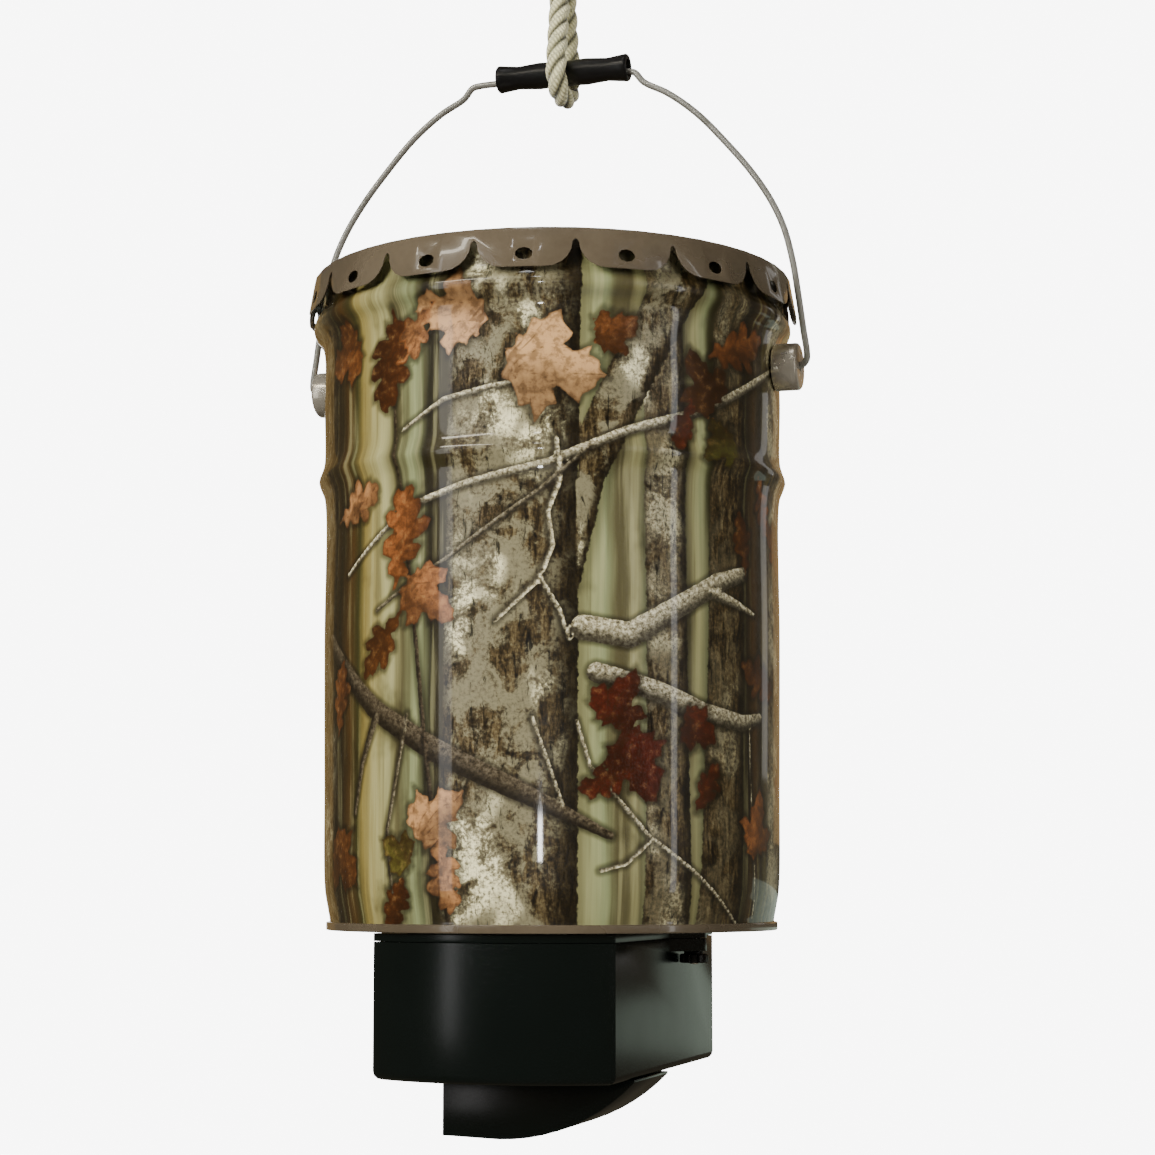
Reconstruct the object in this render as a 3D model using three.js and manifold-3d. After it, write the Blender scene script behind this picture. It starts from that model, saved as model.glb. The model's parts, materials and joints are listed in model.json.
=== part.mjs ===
// Hanging game feeder: a painted steel pail with a lug lid and a wire bail, hung on a rope loop, with a
// battery-run dispenser head under its bottom that throws feed out of a directional scoop.
// Units are millimetres, +Z is up, -Y is the front and +X is the side of the right bail ear.
// The origin is on the axis of the bail grip, above the middle of the pail. Heights named "...Z" are
// counted from the foot of the pail, because every piece but the hanger is built up from there.
import * as THREE from "three";
import { mergeVertices } from "three/addons/utils/BufferGeometryUtils.js";
import Module from "manifold-3d";

const wasm = await Module();
wasm.setup();

// ---------------------------------------------------------------- driving dimensions
const GRIP_ABOVE_FOOT = 551;
const ROUND = 48; // facets round the pail and the lid
const FINE = 24; // facets round small turned pieces
const GAP = 0.3; // air between two pieces that touch

const PAIL = { wall: 0.8, footR: 139, lowR: 142.4, highR: 145.2, beadR: 148.2, beadZ: 281,
  shoulderR: 152.3, shoulderZ: 378.5, neckR: 147.4, curlR: 2.6, curlZ: 403.4 };
const CHIME = { outerR: 141.3, innerR: 137, height: 5.1, panelZ: 12, panel: 0.8 };
const LID = { lugs: 16, topR: 152.4, topZ: 409.9, lugR: 156.5, lugZ: 385.3, panelZ: 398, sheet: 0.8,
  channelR: 143.4, notchZ: 401, notchTop: 1.8, notchFoot: 18, holeZ: 393.4, holeWide: 10.5, holeTall: 7.5 };
const EAR = { z: 349, radius: 14.75, seatX: 145.9, length: 15.6, sheet: 1.2, hole: 3 };
const WIRE = { radius: 2.1, drop: 3, straight: 52 };
const GRIP = { length: 88, bore: 5.6, shift: 7, endR: 8.9, waistR: 7.35, bulgeR: 8.5, middleR: 7.9 };
const ROPE = { radius: 6.75, topZ: 62 };
const RING = { radius: 18, wire: 2.5 };

const HEAD = { half: 74.5, frontR: 137, backY: 126, cornerR: 10, topZ: -5.6, floorZ: -86.4, wall: 2.6, bevel: 5 };
const PLATE = { topZ: -0.5, bottomZ: -5.2 };
const STUD = { x: 84, y: 30, radius: 3, earR: 8.1, earFront: 4.9, earBack: 55, earZ: -13.4 };
const NUT = { radius: 9, collarR: 6.2, collarZ: -13.8, topZ: -15.3, bottomZ: -20.9 };
const THROAT = { left: 14, right: 44, front: -52, back: -12, wall: 2, footZ: -20 };
const GATE = { z: 1, thick: 2, travel: 32 };
const BULKHEAD = { frontY: -75, backY: 8, thick: 2.4 };
const WHEEL = { x: 18, z: -62, radius: 38, hub: 8, blades: 6, blade: 2, front: -56, back: -7 };
const SHAFT = { radius: 2.5, front: -66, back: 18 };
const MOTOR = { radius: 14, front: 12, length: 42 };
const SCOOP = { left: -47, right: 73, front: -70, back: 7, topZ: -86.7, arcX: -11.3, arcZ: -5.6, arcR: 118,
  mouthZ: -122.2, wall: 2.4, flange: 10 };
const BATTERY = { left: -49, right: -2.5, front: 14, back: 112, bottomZ: -83.3, topZ: -14 };
const TIMER = { left: 0, right: 48, front: 96, face: 114, bottomZ: -83.3, topZ: -22 };
const BUTTON = { radius: 3.2, length: 5, proud: 2, z: -66, firstX: 8, pitch: 10.6, count: 4 };
const DOOR = { left: -60, right: 52, innerY: 127.3, thick: 3, topZ: -8, bottomZ: -81, openHalf: 49,
  openTopZ: -11, openBottomZ: -79 };
const HINGE = { x: 57, y: 131.4, knuckleR: 3.5, pinR: 1.5, boreR: 1.9 };
const DOOR_SCREW = { x: -55, z: -45, headR: 6, headLength: 6.5, shankR: 2, boreR: 2.9 };

// ---------------------------------------------------------------- materials
const paint = (color, roughness, metalness = 0) => new THREE.MeshStandardMaterial({ color, roughness, metalness });
const MATERIAL = {
  print: paint(0x6b6248, 0.25, 0.1), // camouflage-printed steel sheet
  taupe: paint(0x6e6150, 0.3, 0.1), // plain painted steel sheet
  zinc: paint(0xb9b6ae, 0.3, 1), // plated steel
  grip: paint(0x1d1e1d, 0.5), // moulded grip
  rope: paint(0xb9b59c, 0.85), // twisted fibre
  plastic: paint(0x1a221f, 0.4), // black housing plastic
  rubber: paint(0x22211f, 0.8), // gaskets
  bronze: paint(0xa07a45, 0.4, 1), // bushing and terminals
  battery: paint(0x2c2d30, 0.6), // battery case
  lens: paint(0x7d8a78, 0.15), // display
  lead: paint(0x8c1f1a, 0.5), // insulated wire
  strap: paint(0x2f3a2b, 0.9), // webbing
};

// ---------------------------------------------------------------- solids
// A closed geometry as a solid that can be joined and cut.
function solid(geometry) {
  const plain = geometry.index ? geometry.toNonIndexed() : geometry.clone();
  plain.deleteAttribute("normal");
  plain.deleteAttribute("uv");
  const merged = mergeVertices(plain, 1e-4);
  return new wasm.Manifold(new wasm.Mesh({
    numProp: 3,
    vertProperties: merged.attributes.position.array,
    triVerts: new Uint32Array(merged.index.array),
  }));
}

function geometryOf(made) {
  const mesh = made.getMesh();
  const position = new Float32Array(mesh.numVert * 3);
  for (let i = 0; i < mesh.numVert; i++)
    position.set(mesh.vertProperties.subarray(i * mesh.numProp, i * mesh.numProp + 3), i * 3);
  return new THREE.BufferGeometry()
    .setAttribute("position", new THREE.BufferAttribute(position, 3))
    .setIndex(new THREE.BufferAttribute(mesh.triVerts, 1));
}

const joined = (...made) => made.reduce((all, one) => all.add(one));
const cut = (from, ...tools) => tools.reduce((left, tool) => left.subtract(tool), from);

// A block between two corners.
function block(x0, x1, y0, y1, z0, z1) {
  return new THREE.BoxGeometry(x1 - x0, y1 - y0, z1 - z0)
    .translate((x0 + x1) / 2, (y0 + y1) / 2, (z0 + z1) / 2);
}

// A profile of [radius, height] points turned about Z. The outer side runs upwards, the inner side down.
function turned(profile, facets = ROUND) {
  return new THREE.LatheGeometry(profile.map(([r, z]) => new THREE.Vector2(r, z)), facets).rotateX(Math.PI / 2);
}

// The same about X or Y, with the profile's heights running along that axis.
const turnedX = (profile, facets = FINE) => turned(profile, facets).rotateY(Math.PI / 2);
const turnedY = (profile, facets = FINE) => turned(profile, facets).rotateX(-Math.PI / 2);

const rod = (radius, z0, z1, facets = FINE) => turned([[0, z0], [radius, z0], [radius, z1], [0, z1]], facets);

// An outline drawn in X and Y, raised from z0 to z1.
function raised(shape, z0, z1, curveSegments = 6) {
  return new THREE.ExtrudeGeometry(shape, { depth: z1 - z0, bevelEnabled: false, curveSegments })
    .translate(0, 0, z0);
}

// An outline drawn in X and Z, running from y0 back to y1.
function across(shape, y0, y1, curveSegments = 6) {
  return new THREE.ExtrudeGeometry(shape, { depth: y1 - y0, bevelEnabled: false, curveSegments })
    .rotateX(Math.PI / 2).translate(0, y1, 0);
}

function outline(points) {
  return new THREE.Shape(points.map(([x, y]) => new THREE.Vector2(x, y)));
}

// A round bar along a smooth curve through the points.
function bar(points, radius, sides, steps) {
  const section = new THREE.Shape().absarc(0, 0, radius, 0, 2 * Math.PI, false);
  const path = new THREE.CatmullRomCurve3(points.map((p) => new THREE.Vector3(...p)), false, "centripetal");
  return new THREE.ExtrudeGeometry(section, { steps, curveSegments: sides / 2, bevelEnabled: false, extrudePath: path });
}

const arc = (x, y, radius, from, to, steps) =>
  Array.from({ length: steps + 1 }, (_, i) => {
    const angle = THREE.MathUtils.degToRad(from + ((to - from) * i) / steps);
    return [x + radius * Math.cos(angle), y + radius * Math.sin(angle)];
  });

// ---------------------------------------------------------------- the frame
const feeder = new THREE.Group();
const hanger = new THREE.Group(); // heights from the origin
const body = new THREE.Group(); // heights from the foot of the pail
body.position.z = -GRIP_ABOVE_FOOT;
feeder.add(hanger, body);

function add(group, name, geometry, material) {
  const mesh = new THREE.Mesh(geometry, material);
  mesh.name = name;
  group.add(mesh);
  return mesh;
}

// ---------------------------------------------------------------- pail
function pailBody() {
  const { wall, footR, lowR, highR, beadR, beadZ, shoulderR, shoulderZ, neckR, curlR, curlZ } = PAIL;
  const lowerZ = 26;
  const flareZ = shoulderZ - 16.5;
  const outer = [
    [footR, 1.6], [footR, 6], [footR + 1.6, 14], [lowR, lowerZ],
    [highR - 0.8, beadZ - 10], [beadR - 0.8, beadZ - 3.5], [beadR, beadZ], [beadR - 0.8, beadZ + 3.5],
    [highR - 0.2, beadZ + 10], [highR, flareZ], [highR + 2, flareZ + 7.5], [shoulderR - 0.9, shoulderZ - 3.5],
    [shoulderR, shoulderZ], [shoulderR - 1.1, shoulderZ + 4], [neckR + 1.2, shoulderZ + 8.5],
    [neckR + 0.2, shoulderZ + 14.5], [neckR, curlZ - curlR],
  ];
  const curl = arc(neckR + 0.6, curlZ, curlR, -60, 200, 7);
  const inner = [
    [neckR - wall, curlZ - curlR], [neckR + 0.4, shoulderZ + 8.5], [shoulderR - wall, shoulderZ],
    [highR - wall, flareZ + 1], [highR - 0.2 - wall, beadZ + 10], [beadR - wall, beadZ],
    [highR - 0.8 - wall, beadZ - 10], [lowR - wall, lowerZ], [footR - wall, 6], [footR - wall, 1.6],
  ];
  const profile = [...outer, ...curl, ...inner, outer[0]];
  return turned(profile);
}

function pailBottom() {
  const { outerR, innerR, height, panelZ, panel } = CHIME;
  const under = panelZ - panel;
  const dish = solid(turned([
    [0, under], [innerR, under], [innerR, 0.4], [innerR + 0.4, 0], [outerR - 0.4, 0], [outerR, 0.5],
    [outerR, height - 0.4], [outerR - 0.4, height], [PAIL.footR + 0.5, height], [PAIL.footR + 0.5, 1.2],
    [innerR + panel, 1.2], [innerR + panel, panelZ], [0, panelZ],
  ]));
  const outlet = solid(block(THROAT.left - 2.5, THROAT.right + 2.5, THROAT.front - 2.5, THROAT.back + 2.5, 5, 20));
  const holes = fixings.map(([x, y]) => solid(rod(3.4, 5, 20, 12).translate(x, y, 0)));
  return geometryOf(cut(dish, outlet, ...holes));
}

function ear(side) {
  const { radius, seatX, length, sheet, hole } = EAR;
  const cup = turnedX([
    [radius - sheet, 0], [radius, 0], [radius, length - 1.2], [radius - 1.2, length], [hole, length],
    [hole, length - sheet], [radius - sheet - 0.6, length - sheet], [radius - sheet, length - 2.4],
    [radius - sheet, 0],
  ]).translate(seatX, 0, 0);
  if (side < 0) cup.rotateZ(Math.PI);
  return cup.translate(0, 0, EAR.z);
}

// ---------------------------------------------------------------- lid
// The space between two lugs, drawn in tangent and height: narrow and round at its top, open at its foot.
function notchCutter() {
  const { notchZ, notchTop, notchFoot, lugZ } = LID;
  const steps = 5;
  const side = Array.from({ length: steps + 1 }, (_, i) => {
    const turn = (Math.PI / 2) * (i / steps);
    return [notchTop + (notchFoot - notchTop) * (1 - Math.cos(turn)), notchZ - (notchZ - lugZ) * Math.sin(turn)];
  });
  const below = lugZ - 4;
  return outline([
    [0, notchZ + notchTop], ...side, [notchFoot, below], [-notchFoot, below],
    ...side.map(([t, z]) => [-t, z]).reverse(),
  ]);
}

function lugLid() {
  const { lugs, topR, topZ, lugR, lugZ, panelZ, sheet, channelR, holeZ, holeWide, holeTall } = LID;
  const under = topZ - sheet;
  const cover = solid(turned([
    [0, panelZ - sheet], [channelR + 0.3, panelZ - sheet], [channelR + sheet, panelZ], [channelR + sheet, under - 0.5],
    [channelR + sheet + 0.5, under], [topR - sheet - 0.6, under], [topR - sheet, under - 0.8], [lugR - sheet, lugZ],
    [lugR, lugZ], [topR, under - 0.5], [topR - 1, topZ], [channelR + 0.5, topZ], [channelR, topZ - 0.5],
    [channelR, panelZ + 0.5], [channelR - 0.5, panelZ], [0, panelZ],
  ]));
  const notch = across(notchCutter(), -LID.lugR - 6, -147);
  const hole = turnedY([[0, -LID.lugR - 6], [holeTall / 2, -LID.lugR - 6], [holeTall / 2, -147], [0, -147]], 10)
    .scale(holeWide / holeTall, 1, 1).translate(0, 0, holeZ);
  const pitch = (2 * Math.PI) / lugs;
  const tools = Array.from({ length: lugs }, (_, i) => [
    solid(notch.clone().rotateZ(i * pitch)),
    solid(hole.clone().rotateZ((i + 0.5) * pitch)),
  ]).flat();
  return geometryOf(cut(cover, ...tools));
}

function lidGasket() {
  const low = PAIL.curlZ + PAIL.curlR + 0.4;
  const high = LID.topZ - LID.sheet - GAP;
  return turned([[145.4, low], [150.4, low], [150.4, high], [145.4, high], [145.4, low]]);
}

// ---------------------------------------------------------------- bail, grip and rope
// Half of the bail from the grip to the ear, as [sideways, height above the foot of the pail].
const bailHalf = [
  [WIRE.straight, 548], [55.5, 546.8], [61, 540.4], [77, 531.5], [96, 516.5], [117, 493.5], [131, 476], [143, 457.5],
  [151.5, 439], [157.2, 417], [160.8, 394], [163.8, 372], [165.8, 358], [165.6, 353.2], [163, 350],
  [159, EAR.z], [153, EAR.z],
];

function bailWire() {
  const right = bailHalf.map(([x, z]) => [x, 0, z - GRIP_ABOVE_FOOT]);
  const left = right.map(([x, y, z]) => [-x, y, z]).reverse();
  return bar([...left, [0, 0, -WIRE.drop], ...right], WIRE.radius, 8, 72);
}

function bailGrip() {
  const { length, bore, endR, waistR, bulgeR, middleR } = GRIP;
  const half = length / 2;
  const side = [[endR - 0.8, half], [endR, half - 1.2], [endR - 0.5, half - 5], [waistR, half - 14], [bulgeR, 16]];
  const outer = [...side.map(([r, x]) => [r, -x]), [middleR, 0], ...side.slice().reverse()];
  return turnedX([[bore, -half], ...outer, [bore, half], [bore, -half]]).translate(GRIP.shift, 0, 0);
}

// One strand of the rope loop from the socket down to the lowest point, as [depth, height].
const ropeHalf = [[7.4, ROPE.topZ], [7.4, 50], [11, 28], [14.6, 8], [15.4, -3], [12.6, -10.2], [6.6, -14.6]];

function hangRope() {
  const back = ropeHalf.map(([y, z]) => [GRIP.shift, y, z]);
  const front = back.map(([x, y, z]) => [x, -y, z]).reverse();
  return bar([...back, [GRIP.shift, 0, -15.6], ...front], ROPE.radius, 10, 40);
}

function ropeSocket() {
  const foot = ROPE.topZ + 2 * GAP;
  const barrel = outline([[-15.5, foot], [15.5, foot], [15.5, foot + 18], [10, foot + 26], [-10, foot + 26],
    [-15.5, foot + 18]]);
  const lug = outline([[-9, foot + 20], [9, foot + 20], ...arc(0, foot + 36, 9, 0, 180, 8)]);
  const eye = solid(rod(5.2, -12, 12, 16).rotateY(Math.PI / 2).translate(0, 0, foot + 36));
  const swage = solid(across(barrel, -9, 9).rotateZ(Math.PI / 2));
  const plate = solid(across(lug, -3.5, 3.5).rotateZ(Math.PI / 2));
  return geometryOf(cut(joined(swage, plate), eye)).translate(GRIP.shift, 0, 0);
}

function hangRing() {
  const eyeZ = ROPE.topZ + GAP + 36;
  return new THREE.TorusGeometry(RING.radius, RING.wire, 8, 32).rotateX(Math.PI / 2)
    .translate(GRIP.shift, 0, eyeZ + RING.radius);
}

// ---------------------------------------------------------------- dispenser head: plate and shell
// Where the head is fixed to the pail: two screws in front, and a stud beside each side wall.
const fixings = [[-50, -100], [50, -100], [-STUD.x, STUD.y], [STUD.x, STUD.y]];

// The plan of the head, moved in by inset: straight sides, a front that follows the pail, a square back.
function headPlan(inset) {
  const half = HEAD.half - inset;
  const back = HEAD.backY - inset;
  const frontR = HEAD.frontR - inset;
  const corner = Math.asin(half / frontR);
  const cornerR = HEAD.cornerR - inset;
  return new THREE.Shape()
    .moveTo(half, -frontR * Math.cos(corner))
    .lineTo(half, back - cornerR)
    .absarc(half - cornerR, back - cornerR, cornerR, 0, Math.PI / 2, false)
    .lineTo(cornerR - half, back)
    .absarc(cornerR - half, back - cornerR, cornerR, Math.PI / 2, Math.PI, false)
    .lineTo(-half, -frontR * Math.cos(corner))
    .absarc(0, 0, frontR, -Math.PI / 2 - corner, -Math.PI / 2 + corner, false);
}

// The ear that a stud passes through, in plan: tapered from the side wall out to a round end.
function studEar(side) {
  const { x, y, earR, earFront, earBack } = STUD;
  const { half } = HEAD;
  return outline([[half - 2, earFront - 2], [half, earFront], ...arc(x, y, earR, -38, 38, 6), [half, earBack],
    [half - 2, earBack + 2]].map(([px, py]) => [side * px, py]));
}

const studEars = (z0, z1) => [-1, 1].map((side) => solid(raised(studEar(side), z0, z1)));
const fixingBores = () => fixings.map(([x, y]) => solid(rod(STUD.radius + 0.4, STUD.earZ - 5, CHIME.panelZ + 5, 12)
  .translate(x, y, 0)));

function mountingPlate() {
  const slab = solid(raised(headPlan(0), PLATE.bottomZ, PLATE.topZ, 14));
  const padTop = CHIME.panelZ - CHIME.panel - GAP;
  const { left, right, front, back, wall, footZ } = THROAT;
  const gateRoof = GATE.z + GATE.thick + 0.6;
  const pad = solid(block(-34, 74, front - 8, back + 8, PLATE.topZ - 1, padTop));
  const duct = solid(block(left - wall, right + wall, front - wall, back + wall, footZ, PLATE.bottomZ + 1));
  const passage = solid(block(left, right, front, back, footZ - 1, padTop + 1));
  const insert = solid(block(left - 2.4, right + 2.4, front - 2.4, back + 2.4, gateRoof + 0.9, padTop + 1));
  const gateSlot = solid(block(-90, 80, front - 4.5, back + 4.5, GATE.z - 0.5, gateRoof - 0.1));
  const bosses = [-1, 1].map((side) => solid(rod(STUD.earR, PLATE.bottomZ, padTop).translate(side * STUD.x, STUD.y, 0)));
  const frontPads = [-50, 50].map((x) => solid(rod(9, PLATE.topZ - 1, padTop).translate(x, -100, 0)));
  const ears = studEars(PLATE.bottomZ, PLATE.topZ);
  return geometryOf(cut(joined(slab, pad, duct, ...ears, ...bosses, ...frontPads), passage, insert, gateSlot,
    ...fixingBores()));
}

function housingShell() {
  const { topZ, floorZ, wall, bevel } = HEAD;
  const height = topZ - floorZ;
  const rounded = new THREE.ExtrudeGeometry(headPlan(0), {
    depth: height, bevelThickness: bevel, bevelSize: bevel, bevelOffset: -bevel, bevelSegments: 3, curveSegments: 14,
  }).translate(0, 0, floorZ + bevel);
  const outer = cut(solid(rounded), solid(block(-200, 200, -200, 200, topZ, topZ + 60)));
  const cavity = solid(raised(headPlan(wall), floorZ + wall, topZ + 10, 14));
  const discharge = solid(block(-44, 66, SCOOP.front + SCOOP.flange + 1, SCOOP.back - SCOOP.flange - 1, floorZ - 1, floorZ + 5));
  const doorway = solid(block(-DOOR.openHalf, DOOR.openHalf, HEAD.backY - 6, HEAD.backY + 6, DOOR.openBottomZ, DOOR.openTopZ));
  const screwHoles = scoopScrews.map(([x, y]) => solid(rod(1.9, floorZ - 2, floorZ + 5, 10).translate(x, y, 0)));
  const doorHole = solid(turnedY([[0, 115], [DOOR_SCREW.boreR, 115], [DOOR_SCREW.boreR, 130], [0, 130]], 16)
    .translate(DOOR_SCREW.x, 0, DOOR_SCREW.z));
  const knuckles = [[-80, -66], [-24, -10]].map(([z0, z1]) => knuckle(z0, z1, HEAD.backY - 1, HINGE.x - 2.2, HINGE.x + 3.4));
  const made = joined(cut(outer, cavity), ...studEars(STUD.earZ, topZ), ...knuckles);
  return geometryOf(cut(made, discharge, doorway, ...screwHoles, doorHole, pinBore(), ...fixingBores()));
}

// A hinge knuckle with the web that joins it to what it belongs to.
function knuckle(z0, z1, webY, webX0, webX1) {
  const barrel = solid(rod(HINGE.knuckleR, z0, z1, 16).translate(HINGE.x, HINGE.y, 0));
  const web = solid(block(webX0, webX1, Math.min(webY, HINGE.y), Math.max(webY, HINGE.y), z0, z1));
  return barrel.add(web);
}

const pinBore = () => solid(rod(HINGE.boreR, -95, 0, 16).translate(HINGE.x, HINGE.y, 0));

function feedThroat() {
  const { left, right, front, back } = THROAT;
  const flangeZ = CHIME.panelZ + GAP;
  const tubeFoot = GATE.z + GATE.thick + 1.9;
  const tube = solid(block(left - 1.9, right + 1.9, front - 1.9, back + 1.9, tubeFoot, flangeZ + 1));
  const flange = solid(block(left - 14, right + 14, front - 14, back + 14, flangeZ, flangeZ + 1.8));
  return geometryOf(cut(joined(tube, flange), solid(block(left, right, front, back, tubeFoot - 1, flangeZ + 5))));
}

function flowGate() {
  const { front, back, left, right } = THROAT;
  const leaf = solid(block(-30, right + GATE.travel + 2, front - 4, back + 4, GATE.z, GATE.z + GATE.thick));
  const tongue = solid(block(-80.5, -29, -42, -22, GATE.z, GATE.z + GATE.thick));
  const pull = solid(block(-80.5, -78, -42, -22, -12, GATE.z + GATE.thick));
  const window = solid(block(left - 1, right + 1, front - 1, back + 1, GATE.z - 1, GATE.z + GATE.thick + 1));
  return geometryOf(cut(joined(leaf, tongue, pull), window));
}

// A pan-head screw or stud that points down, its head's seat at height 0.
function screw(headR, headHeight, shankR, length) {
  return turned([[0, -length], [shankR - 0.4, -length], [shankR, -length + 0.8], [shankR, 0], [headR, 0],
    [headR, headHeight * 0.5], [headR * 0.7, headHeight], [0, headHeight]], 12);
}

function thumbNut() {
  const { radius, collarR, collarZ, topZ, bottomZ } = NUT;
  const flutes = 12;
  const bore = STUD.radius + 0.35;
  const body = solid(turned([[bore, bottomZ], [radius - 0.7, bottomZ], [radius, bottomZ + 0.7], [radius, topZ - 0.8],
    [radius - 0.8, topZ], [collarR, topZ], [collarR, collarZ], [bore, collarZ], [bore, bottomZ]]));
  const tools = Array.from({ length: flutes }, (_, i) =>
    solid(rod(1.3, bottomZ - 1, topZ + 1, 4).translate(radius + 0.4, 0, 0).rotateZ((i * 2 * Math.PI) / flutes)));
  return geometryOf(cut(body, ...tools));
}

// ---------------------------------------------------------------- dispenser head: feed side
function bulkhead(frontY, ...holes) {
  const sheet = solid(block(-71.5, 71.5, frontY, frontY + BULKHEAD.thick, HEAD.floorZ + HEAD.wall + GAP, PLATE.bottomZ - 0.7));
  return geometryOf(cut(sheet, ...holes));
}

function paddleWheel() {
  const { x, z, radius, hub, blades, blade, front, back } = WHEEL;
  const points = [];
  for (let i = 0; i < blades; i++) {
    const turn = (i * 2 * Math.PI) / blades;
    const out = [Math.cos(turn), Math.sin(turn)];
    const side = [-out[1] * (blade / 2), out[0] * (blade / 2)];
    const root = Math.sqrt(hub * hub - (blade / 2) ** 2);
    for (const [r, s] of [[root, -1], [radius, -1], [radius, 1], [root, 1]])
      points.push([out[0] * r + side[0] * s, out[1] * r + side[1] * s]);
    const between = turn + Math.PI / blades;
    points.push([hub * Math.cos(between), hub * Math.sin(between)]);
  }
  const star = outline(points);
  star.holes.push(new THREE.Path().absarc(0, 0, SHAFT.radius + 0.2, 0, 2 * Math.PI, true));
  return across(star, front, back).translate(x, 0, z);
}

const onShaft = (profile, facets) => turnedY(profile, facets).translate(WHEEL.x, 0, WHEEL.z);

function driveShaft() {
  const { radius, front, back } = SHAFT;
  return onShaft([[0, front], [radius - 0.5, front], [radius, front + 0.5], [radius, back], [0, back]], 16);
}

const wheelNut = () => onShaft([[SHAFT.radius + 0.6, -61], [5.4, -61], [5.4, -57.2], [SHAFT.radius + 0.6, -57.2],
  [SHAFT.radius + 0.6, -61]], 6);

function shaftBushing() {
  const y = BULKHEAD.backY;
  const bore = SHAFT.radius + 0.15;
  return onShaft([[bore, y - 4], [6.5, y - 4], [6.5, y - 1], [4.6, y - 0.6], [4.6, y + BULKHEAD.thick + 0.3],
    [bore, y + BULKHEAD.thick + 0.3], [bore, y - 4]], FINE);
}

function motor() {
  const { radius, front, length } = MOTOR;
  const end = front + length;
  const bore = SHAFT.radius + 0.3;
  return onShaft([[0, front + 8], [bore, front + 8], [bore, front - 0.8], [5, front - 0.8], [5, front],
    [radius - 1, front], [radius, front + 1], [radius, end - 4], [radius - 2, end - 4], [radius - 2, end],
    [4, end], [4, end + 2.5], [0, end + 2.5]]);
}

function motorCradle() {
  const reach = MOTOR.radius + 3;
  const yoke = solid(block(WHEEL.x - reach, WHEEL.x + reach, 12, 46, HEAD.floorZ + HEAD.wall + GAP, WHEEL.z));
  const seat = solid(onShaft([[0, 5], [MOTOR.radius + GAP, 5], [MOTOR.radius + GAP, 60], [0, 60]], FINE));
  return geometryOf(cut(yoke, seat));
}

// The scoop's side view: a level mouth on the left and a round ramp that climbs to the right.
function scoopOutline(inset, top) {
  const { left, right, arcX, arcZ, arcR, mouthZ } = SCOOP;
  const radius = arcR - inset;
  const reach = right - inset;
  const endAngle = THREE.MathUtils.radToDeg(-Math.acos((reach - arcX) / radius));
  const mouth = left - (inset > 0 ? 10 : 0);
  const ramp = arc(arcX, arcZ, radius, -90, endAngle, 10).filter(([, z]) => z < top - 0.2);
  return outline([[mouth, mouthZ + inset], ...ramp, [reach, top], [mouth, top]]);
}

const scoopScrews = [[-36, -65], [54, -65], [-36, 2], [54, 2]];

function dischargeScoop() {
  const { front, back, topZ, wall, flange } = SCOOP;
  const shell = solid(across(scoopOutline(0, topZ), front, back));
  const hollow = solid(across(scoopOutline(wall, topZ - wall), front + wall, back - wall));
  const mouth = solid(block(-46 + wall, 66, front + flange, back - flange, topZ - wall - 1, topZ + 1));
  const holes = scoopScrews.map(([x, y]) => solid(rod(1.9, topZ - 5, topZ + 1, 10).translate(x, y, 0)));
  return geometryOf(cut(shell, hollow, mouth, ...holes));
}

// ---------------------------------------------------------------- dispenser head: dry side
function battery() {
  const { left, right, front, back, bottomZ, topZ } = BATTERY;
  const box = solid(block(left, right, front, back, bottomZ, topZ));
  const groove = solid(block(left - 1, left + 1, back - 8, back - 6, bottomZ - 1, topZ + 1));
  const otherGroove = solid(block(right - 1, right + 1, back - 8, back - 6, bottomZ - 1, topZ + 1));
  return geometryOf(cut(box, groove, otherGroove));
}

const terminalX = [-40, -12];
const terminal = (x) => block(x - 3.2, x + 3.2, BATTERY.back + GAP, BATTERY.back + 7, -26.4, -25.6);

function batteryStrap() {
  const { left, right, topZ, bottomZ } = BATTERY;
  const outer = solid(block(left - 1.5, right + 1.5, 50, 70, bottomZ + 3, topZ + 1.5));
  return geometryOf(cut(outer, solid(block(left - GAP, right + GAP, 45, 75, bottomZ - 2, topZ + GAP))));
}

function timerModule() {
  const { left, right, front, face, bottomZ, topZ } = TIMER;
  const box = solid(block(left, right, front, face, bottomZ, topZ));
  const window = solid(block(left + 5, right - 5, face - 1.6, face + 1, -50, -30));
  const wells = buttonXs.map((x) => solid(turnedY([[0, face - 5], [BUTTON.radius + 0.4, face - 5],
    [BUTTON.radius + 0.4, face + 1], [0, face + 1]], 16).translate(x, 0, BUTTON.z)));
  return geometryOf(cut(box, window, ...wells));
}

const buttonXs = Array.from({ length: BUTTON.count }, (_, i) => BUTTON.firstX + i * BUTTON.pitch);

const timerDisplay = () => block(TIMER.left + 5.3, TIMER.right - 5.3, TIMER.face - 1.3, TIMER.face - 0.2, -49.7, -30.3);

function timerButton(x) {
  const { radius, length, proud, z } = BUTTON;
  const tip = TIMER.face + proud;
  return turnedY([[0, tip - length], [radius, tip - length], [radius, tip - 0.6], [radius - 0.6, tip], [0, tip]], 16)
    .translate(x, 0, z);
}

// From each terminal the lead goes over the battery's back edge and down into the top of the timer.
const leadPaths = [
  [[-40, 116, -24.2], [-39, 116, -17], [-20, 117, -12], [2, 114, -12], [14, 106, -15], [15, 105, -21.2]],
  [[-12, 116, -24.2], [-11, 117, -19], [0, 118.5, -16], [14, 116, -15.5], [22, 110, -16], [24, 105, -21.2]],
];
const batteryLead = (points) => bar(points, 1.1, 6, 18);

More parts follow.
